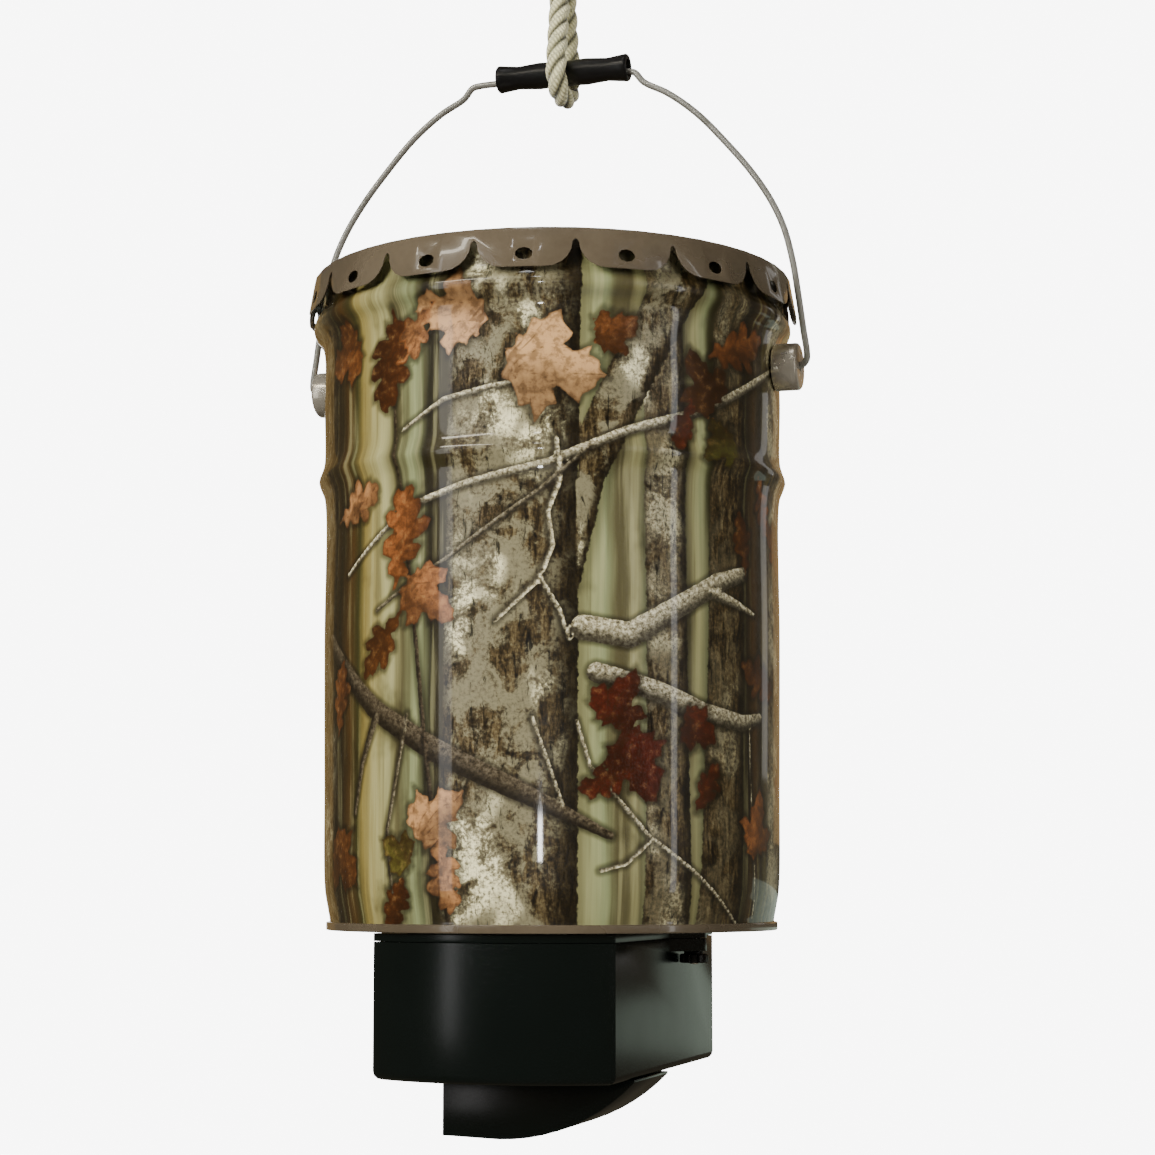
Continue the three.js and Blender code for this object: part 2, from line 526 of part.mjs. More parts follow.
const motorLead = () => bar([[WHEEL.x, 57.5, WHEEL.z], [WHEEL.x + 2, 64, WHEEL.z + 2], [20, 74, -56],
  [24, 86, -50], [24, 95.4, -48]], 1.3, 6, 16);

function accessDoor() {
  const { left, right, innerY, thick, topZ, bottomZ } = DOOR;
  const outerY = innerY + thick;
  const panel = solid(block(left, right, innerY, outerY, bottomZ, topZ));
  const rib = solid(block(-47.5, 47.5, 123.8, innerY + 1, -77.5, -12.5));
  const ribHollow = solid(block(-45.5, 45.5, 120, innerY, -75.5, -14.5));
  const screwHole = solid(turnedY([[0, 120], [DOOR_SCREW.boreR, 120], [DOOR_SCREW.boreR, 140], [0, 140]], 16)
    .translate(DOOR_SCREW.x, 0, DOOR_SCREW.z));
  const middle = knuckle(-65.4, -24.6, innerY + 0.3, right - 1, HINGE.x);
  return geometryOf(cut(joined(panel, rib, middle), ribHollow, screwHole, pinBore()));
}

function doorGasket() {
  const y0 = HEAD.backY + GAP;
  const y1 = DOOR.innerY - 0.2;
  const frame = solid(block(-51.5, 51.5, y0, y1, -80.5, -8.5));
  return geometryOf(cut(frame, solid(block(-48, 48, y0 - 1, y1 + 1, -78, -12))));
}

const hingePin = () => rod(HINGE.pinR, -81, -9, 12).translate(HINGE.x, HINGE.y, 0);

function doorScrew() {
  const seat = DOOR.innerY + DOOR.thick + GAP;
  const { headR, headLength, shankR, x, z } = DOOR_SCREW;
  return turnedY([[0, 121], [shankR - 0.5, 121], [shankR, 121.6], [shankR, seat], [headR, seat],
    [headR, seat + headLength - 1], [headR - 1, seat + headLength], [0, seat + headLength]], 16).translate(x, 0, z);
}

// ---------------------------------------------------------------- assembly
add(hanger, "bail_wire", bailWire(), MATERIAL.zinc);
add(hanger, "bail_grip", bailGrip(), MATERIAL.grip);
add(hanger, "hang_rope", hangRope(), MATERIAL.rope);
add(hanger, "rope_socket", ropeSocket(), MATERIAL.zinc);
add(hanger, "hang_ring", hangRing(), MATERIAL.zinc);

add(body, "pail_body", pailBody(), MATERIAL.print);
add(body, "pail_bottom", pailBottom(), MATERIAL.taupe);
add(body, "bail_ear_right", ear(1), MATERIAL.zinc);
add(body, "bail_ear_left", ear(-1), MATERIAL.zinc);
add(body, "lug_lid", lugLid(), MATERIAL.taupe);
add(body, "lid_gasket", lidGasket(), MATERIAL.rubber);

add(body, "mounting_plate", mountingPlate(), MATERIAL.plastic);
add(body, "housing_shell", housingShell(), MATERIAL.plastic);
add(body, "feed_throat", feedThroat(), MATERIAL.plastic);
add(body, "flow_gate", flowGate(), MATERIAL.zinc);
["left", "right"].forEach((name, i) => {
  const side = i ? 1 : -1;
  const seat = CHIME.panelZ + GAP;
  add(body, `plate_screw_${name}`, screw(5.5, 3.4, 2.6, 16).translate(side * 50, -100, seat), MATERIAL.zinc);
  add(body, `mount_stud_${name}`, screw(6.5, 4, STUD.radius, 34).translate(side * STUD.x, STUD.y, seat), MATERIAL.zinc);
  add(body, `thumb_nut_${name}`, thumbNut().translate(side * STUD.x, STUD.y, 0), MATERIAL.grip);
});

const shaftHole = solid(onShaft([[0, 0], [4.9, 0], [4.9, 20], [0, 20]], FINE));
add(body, "front_bulkhead", bulkhead(BULKHEAD.frontY), MATERIAL.plastic);
add(body, "motor_bulkhead", bulkhead(BULKHEAD.backY, shaftHole), MATERIAL.plastic);
add(body, "paddle_wheel", paddleWheel(), MATERIAL.plastic);
add(body, "drive_shaft", driveShaft(), MATERIAL.zinc);
add(body, "wheel_nut", wheelNut(), MATERIAL.zinc);
add(body, "shaft_bushing", shaftBushing(), MATERIAL.bronze);
add(body, "motor", motor(), MATERIAL.zinc);
add(body, "motor_cradle", motorCradle(), MATERIAL.plastic);
add(body, "discharge_scoop", dischargeScoop(), MATERIAL.plastic);
scoopScrews.forEach(([x, y], i) =>
  add(body, `scoop_screw_${i + 1}`, screw(3.4, 2, 1.6, 7).translate(x, y, HEAD.floorZ + HEAD.wall + GAP), MATERIAL.zinc));

add(body, "battery", battery(), MATERIAL.battery);
terminalX.forEach((x, i) => add(body, `battery_terminal_${i + 1}`, terminal(x), MATERIAL.bronze));
add(body, "battery_strap", batteryStrap(), MATERIAL.strap);
add(body, "timer_module", timerModule(), MATERIAL.plastic);
add(body, "timer_display", timerDisplay(), MATERIAL.lens);
buttonXs.forEach((x, i) => add(body, `timer_button_${i + 1}`, timerButton(x), MATERIAL.grip));
leadPaths.forEach((points, i) => add(body, `battery_lead_${i + 1}`, batteryLead(points), MATERIAL.lead));
add(body, "motor_lead", motorLead(), MATERIAL.lead);
add(body, "access_door", accessDoor(), MATERIAL.plastic);
add(body, "door_gasket", doorGasket(), MATERIAL.rubber);
add(body, "door_hinge_pin", hingePin(), MATERIAL.zinc);
add(body, "door_screw", doorScrew(), MATERIAL.zinc);

export default feeder;
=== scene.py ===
import json
import math

import bpy
import numpy as np
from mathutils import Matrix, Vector


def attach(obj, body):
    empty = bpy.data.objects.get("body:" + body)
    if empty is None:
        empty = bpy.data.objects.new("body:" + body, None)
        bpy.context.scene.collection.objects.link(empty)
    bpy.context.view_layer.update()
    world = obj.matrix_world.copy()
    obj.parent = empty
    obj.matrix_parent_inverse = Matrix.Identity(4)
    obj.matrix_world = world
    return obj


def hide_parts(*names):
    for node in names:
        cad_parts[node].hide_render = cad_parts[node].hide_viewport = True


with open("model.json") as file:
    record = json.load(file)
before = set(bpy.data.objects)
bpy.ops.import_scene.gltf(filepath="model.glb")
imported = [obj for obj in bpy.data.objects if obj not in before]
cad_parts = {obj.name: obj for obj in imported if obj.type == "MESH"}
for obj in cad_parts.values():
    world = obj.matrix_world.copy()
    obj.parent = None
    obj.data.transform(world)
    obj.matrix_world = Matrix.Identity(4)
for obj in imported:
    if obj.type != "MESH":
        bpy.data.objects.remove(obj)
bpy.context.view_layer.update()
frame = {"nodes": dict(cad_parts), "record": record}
NODES = frame["nodes"]

MM = 0.001
FOOT = -551.0  # the foot of the pail, below the grip's axis
VIEW_AZIMUTH = 17.5  # degrees round from the front, to the right
VIEW_PITCH, VIEW_YAW = 5.41, 0.584  # degrees up, and to the side of the pail's axis
EYE_DISTANCE, EYE_HEIGHT = 1565, FOOT + 30
LENS, SENSOR, VIEW_SHIFT = 77.2, 36, 0.06
LIGHTS_AIM = (0, 0, -0.35)
AMBIENT, BACKDROP_GLOW, FLOOR_GLOW = 0.085, 10.0, 9.6  # strengths
EDGE_WIDTH, EDGE_ANGLE, CREASE = 0.4, 35, 32  # the CAD nodes' softened edges, and the angles that make an edge

# ---------------------------------------------------------------- camera, lights and floor


def make_camera():
    """The photograph's view: from a little above the pail's foot, tipped up."""
    turn = math.radians(VIEW_AZIMUTH)
    data = bpy.data.cameras.new("camera")
    data.sensor_width, data.lens, data.shift_y = SENSOR, LENS, VIEW_SHIFT
    data.clip_start, data.clip_end = 0.05, 60
    camera = bpy.data.objects.new("camera", data)
    camera.location = (math.sin(turn) * EYE_DISTANCE * MM, -math.cos(turn) * EYE_DISTANCE * MM, EYE_HEIGHT * MM)
    camera.rotation_euler = (math.pi / 2 + math.radians(VIEW_PITCH), 0, turn - math.radians(VIEW_YAW))
    bpy.context.collection.objects.link(camera)
    bpy.context.scene.camera = camera


def area_light(name, azimuth, height, distance, width, tall, power, colour=(1, 1, 1), mirrored=True):
    """An area light in metres that looks at the pail, its azimuth in degrees from the view's direction."""
    turn = math.radians(VIEW_AZIMUTH + azimuth)
    data = bpy.data.lights.new(name, "AREA")
    data.shape, data.size, data.size_y, data.energy, data.color = "RECTANGLE", width, tall, power, colour
    lamp = bpy.data.objects.new(name, data)
    lamp.location = (math.sin(turn) * distance, -math.cos(turn) * distance, height)
    aim = Vector(LIGHTS_AIM) - lamp.location
    lamp.rotation_euler = aim.to_track_quat("-Z", "Y").to_euler()
    lamp.visible_camera = False
    lamp.visible_glossy = mirrored  # the wide lights only fill, so that they leave no panes in the gloss
    bpy.context.collection.objects.link(lamp)
    return lamp


make_camera()
# The wide lights that fill, then the narrow ones that the gloss shows.
area_light("key", -42, 0.5, 2.3, 1.0, 1.4, 150, mirrored=False)
area_light("fill", 46, 0.3, 2.4, 0.9, 1.6, 50, mirrored=False)
area_light("back_left", -150, 0.2, 2.4, 1.2, 1.6, 62, mirrored=False)
area_light("back_right", 150, 0.2, 2.4, 1.2, 1.6, 62, mirrored=False)
area_light("sky", 20, 2.0, 0.4, 1.4, 1.4, 26, mirrored=False)
area_light("under", 0, -1.9, 0.6, 1.4, 1.4, 20, mirrored=False)
area_light("glow_left", -52, 0.0, 2.1, 0.26, 1.9, 3.0)
area_light("glow_right", 60, -0.2, 2.1, 0.12, 1.5, 1.6)
area_light("glow_back_left", -170, 0.0, 2.2, 0.4, 1.5, 4)
area_light("glow_back_right", 130, 0.2, 2.2, 0.3, 1.2, 0.7)
area_light("panel_right", 143, -0.77, 2.2, 2.2, 0.32, 1.1, (0.8, 1, 0.84))
area_light("edge_right", 160, 0.0, 2.2, 1.3, 0.95, 1.2, (1, 0.6, 0.22))
area_light("edge_left", -158, -0.2, 2.2, 1.5, 1.6, 1.3, (1, 0.55, 0.08))
area_light("lamp_high", -46, 1.15, 1.9, 1.0, 0.14, 6.0, (1, 0.93, 0.78))
area_light("lamp_middle", -8, 1.2, 1.9, 0.12, 0.12, 0.9)
area_light("lamp_top", -20, 1.9, 0.8, 0.4, 0.4, 3.2)
spark = area_light("spark", -5.5, -0.5, 1.56, 0.055, 0.1, 1.0)


def make_world():
    """Dim, even light on the object, and a bright backdrop where the camera looks past it."""
    world = bpy.data.worlds.new("world")
    bpy.context.scene.world = world
    world.use_nodes = True
    tree = world.node_tree
    around = tree.nodes["Background"]
    around.inputs["Color"].default_value = (1, 0.84, 0.58, 1)
    around.inputs["Strength"].default_value = AMBIENT
    backdrop = tree.nodes.new("ShaderNodeBackground")
    backdrop.inputs["Strength"].default_value = BACKDROP_GLOW
    rays, mix = tree.nodes.new("ShaderNodeLightPath"), tree.nodes.new("ShaderNodeMixShader")
    tree.links.new(rays.outputs["Is Camera Ray"], mix.inputs[0])
    tree.links.new(around.outputs[0], mix.inputs[1])
    tree.links.new(backdrop.outputs[0], mix.inputs[2])
    tree.links.new(mix.outputs[0], tree.nodes["World Output"].inputs["Surface"])


make_world()

# ---------------------------------------------------------------- node materials


class Nodes:
    """A material's node tree, with short ways to make and join nodes."""

    def __init__(self, name, **uniform):
        self.material = bpy.data.materials.new(name)
        self.material.use_nodes = True
        self.tree = self.material.node_tree
        self.shader = self.tree.nodes["Principled BSDF"]
        for key, value in uniform.items():
            self.shader.inputs[key.replace("_", " ")].default_value = value

    def node(self, kind, values=(), **settings):
        n = self.tree.nodes.new(kind)
        for key, value in settings.items():
            setattr(n, key, value)
        for key, value in dict(values).items():
            if isinstance(value, bpy.types.NodeSocket):
                self.tree.links.new(value, n.inputs[key])
            elif value is not None:
                n.inputs[key].default_value = value
        return n

    def math(self, operation, a, b=None, c=None):
        return self.node("ShaderNodeMath", {0: a, 1: b, 2: c}, operation=operation).outputs[0]

    def add(self, a, b): return self.math("ADD", a, b)
    def sub(self, a, b): return self.math("SUBTRACT", a, b)
    def mul(self, a, b): return self.math("MULTIPLY", a, b)

    def step(self, value, low, high, out_low=0.0, out_high=1.0):
        """A smooth step of value from low to high."""
        return self.node("ShaderNodeMapRange", {"Value": value, "From Min": low, "From Max": high, "To Min": out_low,
                         "To Max": out_high}, interpolation_type="SMOOTHSTEP").outputs["Result"]

    def attribute(self, name):
        """A value stored on the mesh's points."""
        return self.node("ShaderNodeAttribute", attribute_name=name).outputs["Fac"]

    def place(self):
        """Object coordinates in metres."""
        return self.node("ShaderNodeTexCoord").outputs["Object"]

    def noise(self, vector, scale, detail=3.0, roughness=0.55, distortion=0.0):
        return self.node("ShaderNodeTexNoise", {"Vector": vector, "Scale": scale, "Detail": detail,
                         "Roughness": roughness, "Distortion": distortion}).outputs["Fac"]

    def ramp(self, value, stops):
        """Colours along value, from at most 32 stops of [place from 0 to 1, colour]."""
        n = self.node("ShaderNodeValToRGB", {"Fac": value})
        points = n.color_ramp.elements
        while len(points) < len(stops):
            points.new(1.0)
        for point, (at, colour) in zip(points, stops):
            point.position = at
            point.color = (*colour, 1)
        return n.outputs["Color"]

    def mix(self, factor, a, b, blend="MIX"):
        """Colour a at factor 0, and b at factor 1."""
        n = self.node("ShaderNodeMix", data_type="RGBA", blend_type=blend)
        factor_in, a_in, b_in, colour_out = n.inputs[0], n.inputs[6], n.inputs[7], n.outputs[2]
        for socket, value in ((factor_in, factor), (a_in, a), (b_in, b)):
            if isinstance(value, bpy.types.NodeSocket):
                self.tree.links.new(value, socket)
            else:
                socket.default_value = value if socket == factor_in else (*value, 1)
        return colour_out

    def bump(self, height, distance, strength=1.0, under=None):
        """A bump of distance millimetres on top of the normal under it."""
        return self.node("ShaderNodeBump", {"Height": height, "Distance": distance * MM, "Strength": strength,
                         "Normal": under}).outputs["Normal"]

    def out(self, **links):
        """Joins the shader's inputs, and gives the finished material."""
        for key, socket in links.items():
            self.tree.links.new(socket, self.shader.inputs[key.replace("_", " ")])
        return self.material


def plastic(name, colour, dusty, smooth, rough, grain=0.02):
    """Moulded plastic: fine spark-eroded grain, faint flow clouds and a film of dust."""
    m = Nodes(name, Specular_IOR_Level=0.6)
    here = m.place()
    cloud = m.noise(here, 9, 3)
    film = m.noise(here, 34, 2)
    base = m.mix(m.add(m.mul(cloud, 0.7), m.mul(film, 0.3)), colour, dusty)
    return m.out(Base_Color=base, Roughness=m.step(cloud, 0.3, 0.7, smooth, rough),
                 Normal=m.bump(m.noise(here, 1100, 1), grain))


def plated(name, colour, tarnish, roughness=0.3, metallic=1.0, waves=0.04):
    """Plated or sintered metal: soft clouds, stains and slow waves."""
    m = Nodes(name, Metallic=metallic)
    here = m.place()
    cloud = m.noise(here, 38, 4, 0.5)
    base = m.mix(m.step(cloud, 0.46, 0.72), colour, tarnish)
    rough = m.step(cloud, 0.3, 0.8, roughness - 0.05, roughness + 0.12)
    return m.out(Base_Color=base, Roughness=rough, Normal=m.bump(m.noise(here, 90, 1), waves))


def enamel(name, colour, shade, roughness=0.24):
    """Baked enamel on steel sheet: orange peel and faint uneven colour."""
    m = Nodes(name, Coat_Weight=0.8, Coat_Roughness=0.06)
    here = m.place()
    cloud = m.noise(here, 16, 4)
    fine = m.noise(here, 240, 3)
    base = m.mix(m.step(m.add(m.mul(cloud, 0.8), m.mul(fine, 0.2)), 0.3, 0.7), colour, shade)
    return m.out(Base_Color=base, Roughness=m.step(cloud, 0.3, 0.75, roughness, roughness + 0.14),
                 Normal=m.bump(m.noise(here, 60, 1), 0.25, 0.6))


def rubber(name):
    """Black rubber with a pale bloom."""
    m = Nodes(name, Specular_IOR_Level=0.3)
    here = m.place()
    bloom = m.noise(here, 45, 5)
    return m.out(Base_Color=m.mix(bloom, (0.012, 0.012, 0.012), (0.035, 0.034, 0.032)),
                 Roughness=m.step(bloom, 0.3, 0.7, 0.6, 0.85), Normal=m.bump(m.noise(here, 900, 2), 0.04))


def wire_cover(name):
    """The red cover of a lead, with grime."""
    m = Nodes(name, Coat_Weight=0.2)
    grime = m.noise(m.place(), 120, 4)
    return m.out(Base_Color=m.mix(grime, (0.26, 0.012, 0.01), (0.12, 0.008, 0.008)),
                 Roughness=m.step(grime, 0.3, 0.7, 0.3, 0.55), Normal=m.bump(grime, 0.05))


def webbing(name):
    """Dark green woven strap, with painted shade where the threads dip."""
    m = Nodes(name, Sheen_Weight=0.3)
    threads = {"Vector": m.place(), "Scale": 260, "Distortion": 0.6, "Detail": 2}
    weft = m.node("ShaderNodeTexWave", threads).outputs["Fac"]
    warp = m.node("ShaderNodeTexWave", threads, bands_direction="Z").outputs["Fac"]
    both = m.mul(weft, warp)
    # painted shade: darker where the threads sink, the same places that the bump lowers
    return m.out(Base_Color=m.mix(both, (0.012, 0.02, 0.012), (0.06, 0.08, 0.05)),
                 Roughness=m.step(both, 0, 1, 0.75, 0.95), Normal=m.bump(both, 0.3))


def display_window(name):
    """A grey-green display with faint segment rows."""
    m = Nodes(name, Coat_Weight=1.0, Coat_Roughness=0.03)
    rows = m.node("ShaderNodeTexBrick", {"Vector": m.place(), "Scale": 170}).outputs["Fac"]
    glow = m.noise(m.place(), 40, 3)
    ground = m.mix(glow, (0.2, 0.26, 0.15), (0.27, 0.32, 0.2))
    return m.out(Base_Color=m.mix(m.mul(rows, 0.25), ground, (0.07, 0.09, 0.06)),
                 Roughness=m.step(glow, 0.3, 0.7, 0.2, 0.35))


def rope_fibre(name):
    """Laid fibre: yarns that run with the strands' twist, and painted shade between strands."""
    m = Nodes(name, Sheen_Weight=0.35, Sheen_Roughness=0.5)
    groove, yarn = m.attribute("groove"), m.attribute("yarn")
    fluff = m.noise(m.place(), 900, 4, 0.7)
    stain = m.noise(m.place(), 55, 4)
    # painted shade: the fibre turns dark in the grooves where the strands meet
    base = m.mix(m.step(m.add(groove, m.mul(fluff, 0.25)), 0.42, 1.08), (0.05, 0.046, 0.022), (0.56, 0.52, 0.29))
    base = m.mix(m.step(stain, 0.5, 0.8), base, (0.33, 0.33, 0.17))
    threads = m.math("SINE", m.add(m.mul(yarn, 29.0), m.mul(fluff, 3.0)))
    base = m.mix(m.mul(m.step(threads, -0.6, 1), 0.6), base, (0.15, 0.135, 0.07))
    bumps = m.bump(threads, 0.22, 0.8)
    return m.out(Base_Color=base, Roughness=m.step(fluff, 0.3, 0.7, 0.75, 0.95),
                 Normal=m.bump(fluff, 0.3, 0.7, bumps))


LOOKS = {  # by the record's material slots, and two more for new pieces: the bail's wire and the pail's inside
    "taupe_paint": enamel("taupe_enamel", (0.07, 0.054, 0.034), (0.048, 0.036, 0.022), 0.2),
    "zinc": plated("zinc_plate", (0.6, 0.55, 0.45), (0.32, 0.26, 0.18), 0.24, 0.84),
    "wire": plated("drawn_wire", (0.42, 0.41, 0.36), (0.27, 0.265, 0.22), 0.36, 0.8, 0.005),
    "lining": enamel("pail_lining", (0.2, 0.19, 0.16), (0.15, 0.14, 0.12), 0.4),
    "grip_plastic": plastic("grip_black", (0.0016, 0.0016, 0.0017), (0.004, 0.004, 0.004), 0.26, 0.38, 0.04),
    "housing_plastic": plastic("housing_black", (0.0008, 0.0019, 0.0016), (0.0016, 0.003, 0.0026), 0.2, 0.27),
    "battery_case": plastic("battery_grey", (0.03, 0.03, 0.034), (0.05, 0.05, 0.055), 0.45, 0.6, 0.1),
    "rubber": rubber("gasket_rubber"),
    "bronze": plated("sintered_bronze", (0.62, 0.42, 0.2), (0.3, 0.2, 0.1), 0.36),
    "strap_webbing": webbing("strap_weave"),
    "display": display_window("timer_window"),
    "lead": wire_cover("lead_cover"),
    "rope_fibre": rope_fibre("rope_strands"),
}

# ---------------------------------------------------------------- meshes


def new_piece(name, vertices, faces, material, body, slot, replaced):
    """A smooth mesh from millimetre vertices, riding on body and standing for the replaced CAD nodes."""
    mesh = bpy.data.meshes.new(name)
    mesh.from_pydata((np.asarray(vertices, float) * MM).tolist(), [], [tuple(int(i) for i in f) for f in faces])
    mesh.polygons.foreach_set("use_smooth", [True] * len(mesh.polygons))
    mesh.materials.append(material)
    mesh.update()
    piece = bpy.data.objects.new(name, mesh)
    bpy.context.collection.objects.link(piece)
    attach(piece, body)
    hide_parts(*replaced)
    return piece


def grid_faces(rows, columns, close_rows=True):
    """Quads of a grid of points, rows by columns, closed round across its columns and, if asked, its rows."""
    i, j = np.arange(rows if close_rows else rows - 1), np.arange(columns)
    i, j = (g.ravel() for g in np.meshgrid(i, j, indexing="ij"))
    nexti, nextj = (i + 1) % rows, (j + 1) % columns
    return np.stack([i * columns + j, i * columns + nextj, nexti * columns + nextj, nexti * columns + j], 1)


def set_values(piece, name, values):
    """Stores one number on each point of a piece."""
    attribute = piece.data.attributes.new(name, "FLOAT", "POINT")
    attribute.data.foreach_set("value", np.asarray(values, np.float32).ravel())


def smooth_curve(points, per_span=8):
    """A centripetal Catmull-Rom curve through the points."""
    p = np.asarray(points, float)
    ends = [2 * p[0] - p[1], *p, 2 * p[-1] - p[-2]]
    made = []
    for a, b, c, d in zip(ends, ends[1:], ends[2:], ends[3:]):
        knots = np.cumsum([0] + [max(np.linalg.norm(v - u) ** 0.5, 1e-6) for u, v in ((a, b), (b, c), (c, d))])
        for t in np.linspace(knots[1], knots[2], per_span, endpoint=False):
            ab = (knots[1] - t) / knots[1] * a + t / knots[1] * b
            bc = ((knots[2] - t) * b + (t - knots[1]) * c) / (knots[2] - knots[1])
            cd = ((knots[3] - t) * c + (t - knots[2]) * d) / (knots[3] - knots[2])
            abc = ((knots[2] - t) * ab + t * bc) / knots[2]
            bcd = ((knots[3] - t) * bc + (t - knots[1]) * cd) / (knots[3] - knots[1])
            made.append(((knots[2] - t) * abc + (t - knots[1]) * bcd) / (knots[2] - knots[1]))
    return np.array([*made, p[-1]])


def even_points(points, spacing):
    """The same line with points about spacing apart, and how far along it each lies."""
    along = np.concatenate([[0], np.cumsum(np.linalg.norm(np.diff(points, axis=0), axis=1))])
    at = np.linspace(0, along[-1], max(2, round(along[-1] / spacing) + 1))
    return np.stack([np.interp(at, along, points[:, k]) for k in range(3)], 1), at


def line_frames(points, first_side):
    """Unit directions across a line, carried along it without twist."""
    ahead = np.gradient(points, axis=0)
    ahead /= np.linalg.norm(ahead, axis=1)[:, None]
    side = np.asarray(first_side, float)
    sides = []
    for t in ahead:
        side = side - t * side.dot(t)
        side = side / np.linalg.norm(side)
        sides.append(side)
    sides = np.array(sides)
    return sides, np.cross(ahead, sides)


def capped(vertices, faces, rows, columns):
    """Closes both ends of a tube of points with fans."""
    first, last = vertices[:columns].mean(0), vertices[-columns:].mean(0)
    n, base = len(vertices), (rows - 1) * columns
    ring = np.arange(columns)
    after = (ring + 1) % columns
    fans = [(n, b, a) for a, b in zip(ring, after)] + [(n + 1, base + a, base + b) for a, b in zip(ring, after)]
    return np.vstack([vertices, first, last]), [*map(tuple, faces), *fans]


def tube(line, first_side, radius, columns):
    """A closed tube along a line. Its radius is one number, or one for each point of each ring."""
    sides, ups = line_frames(line, first_side)
    angle = np.linspace(0, 2 * np.pi, columns, endpoint=False)[None, :, None]
    radius = np.broadcast_to(radius, (len(line), columns))[..., None]
    vertices = line[:, None] + radius * (np.cos(angle) * sides[:, None] + np.sin(angle) * ups[:, None])
    return capped(vertices.reshape(-1, 3), grid_faces(len(line), columns, False), len(line), columns)


def rope(name, points, diameter, pitch, material, body, slot, replaced):
    """Three strands laid round each other along the points."""
    line, along = even_points(points, 0.9)
    columns = 48
    angle = np.linspace(0, 2 * np.pi, columns, endpoint=False)[None]
    phase = (angle - along[:, None] / pitch * 2 * np.pi) * 1.5
    lobe = np.abs(np.cos(phase))  # 1 on top of a strand, 0 between two
    radius = diameter / 2 * (0.66 + 0.34 * lobe ** 0.55)
    piece = new_piece(name, *tube(line, (1, 0, 0), radius, columns), material, body, slot, replaced)
    yarn = along[:, None] / 7.0 + (phase / np.pi % 1) * 1.1
    end_caps = 2
    # groove is 1 on top of a strand and 0 between two; the rope's material paints shade where it is low
    set_values(piece, "groove", [*(lobe ** 0.6).ravel(), *[0.6] * end_caps])
    set_values(piece, "yarn", [*yarn.ravel(), *[0] * end_caps])
    return piece


# A CAD node keeps its shape: its split points are merged, its edges softened and its shading smoothed by angle.
def shading_group():
    """Smooth shading, but for edges sharper than CREASE degrees."""
    group = bpy.data.node_groups.new("smooth_by_angle", "GeometryNodeTree")
    group.interface.new_socket("Geometry", in_out="INPUT", socket_type="NodeSocketGeometry")
    group.interface.new_socket("Geometry", in_out="OUTPUT", socket_type="NodeSocketGeometry")
    new, link = group.nodes.new, group.links.new
    into, out = new("NodeGroupInput"), new("NodeGroupOutput")
    faces, edges = new("GeometryNodeSetShadeSmooth"), new("GeometryNodeSetShadeSmooth")
    edges.domain = "EDGE"
    edges.inputs["Shade Smooth"].default_value = False
    angle, over = new("GeometryNodeInputMeshEdgeAngle"), new("FunctionNodeCompare")
    over.inputs["B"].default_value = math.radians(CREASE)
    link(angle.outputs["Unsigned Angle"], over.inputs["A"])
    link(over.outputs[0], edges.inputs["Selection"])
    link(into.outputs[0], faces.inputs["Geometry"])
    link(faces.outputs[0], edges.inputs["Geometry"])
    link(edges.outputs[0], out.inputs[0])
    return group


SMOOTHING = shading_group()


def dress(node, material):
    """Gives a CAD node its material and finished edges."""
    piece = NODES[node]
    piece.data.materials.clear()
    piece.data.materials.append(material)
    for spare in [a.name for a in piece.data.attributes if a.name == "custom_normal"]:
        piece.data.attributes.remove(piece.data.attributes[spare])
    weld = piece.modifiers.new("weld", "WELD")
    weld.merge_threshold = 0.01 * MM
    edge = piece.modifiers.new("edges", "BEVEL")
    edge.width, edge.segments, edge.limit_method = EDGE_WIDTH * MM, 2, "ANGLE"
    edge.angle_limit = math.radians(EDGE_ANGLE)
    piece.modifiers.new("shading", "NODES").node_group = SMOOTHING


# ---------------------------------------------------------------- rope

ROPE_X, ROPE_D, ROPE_TWIST = 7, 13.5, 38  # its place beside the pail's axis, its diameter and its lay
rope_side = [(7.4, 62), (7.4, 50), (11, 28), (14.6, 8), (15.4, -3), (12.6, -10.2), (6.6, -14.6)]
rope_points = smooth_curve([(ROPE_X, y, z) for y, z in rope_side] + [(ROPE_X, 0, -15.6)]
                           + [(ROPE_X, -y, z) for y, z in reversed(rope_side)])
hang_rope = rope("hang_rope_laid", rope_points, ROPE_D, ROPE_TWIST, LOOKS["rope_fibre"], "bail", "rope_fibre",
                 ["hang_rope"])

# ---------------------------------------------------------------- bail wire
# Half of the bail from the grip to the ear, as [sideways, height above the foot].
BAIL_HALF = [(52, 548), (55.5, 546.8), (61, 540.4), (77, 531.5), (96, 516.5), (117, 493.5), (131, 476), (143, 457.5),
             (151.5, 439), (157.2, 417), (160.8, 394), (163.8, 372), (165.8, 358), (165.6, 353.2), (163, 350),
             (159, 349), (153, 349)]


def bail_wire():
    """The drawn wire from ear to ear, straight through the grip."""
    right = [(x, 0, z + FOOT) for x, z in BAIL_HALF]
    left = [(-x, y, z) for x, y, z in reversed(right)]
    line, _ = even_points(smooth_curve([*left, (0, 0, FOOT + BAIL_HALF[0][1]), *right]), 1.2)
    radius, columns = 2.1, 20
    mesh = tube(line, (0, 1, 0), radius, columns)
    new_piece("bail_wire_drawn", *mesh, LOOKS["wire"], "bail", "zinc", ["bail_wire"])


bail_wire()

# ---------------------------------------------------------------- the woodland print
# Places on the print are (s, z): s runs to the right round the pail from the view's middle, z up from its foot.
PRINT_R = 145.0
REPEAT = math.pi * PRINT_R  # the print repeats twice round the pail
OUT_OF_REACH = 60.0  # stands for a depth or a distance where nothing is near
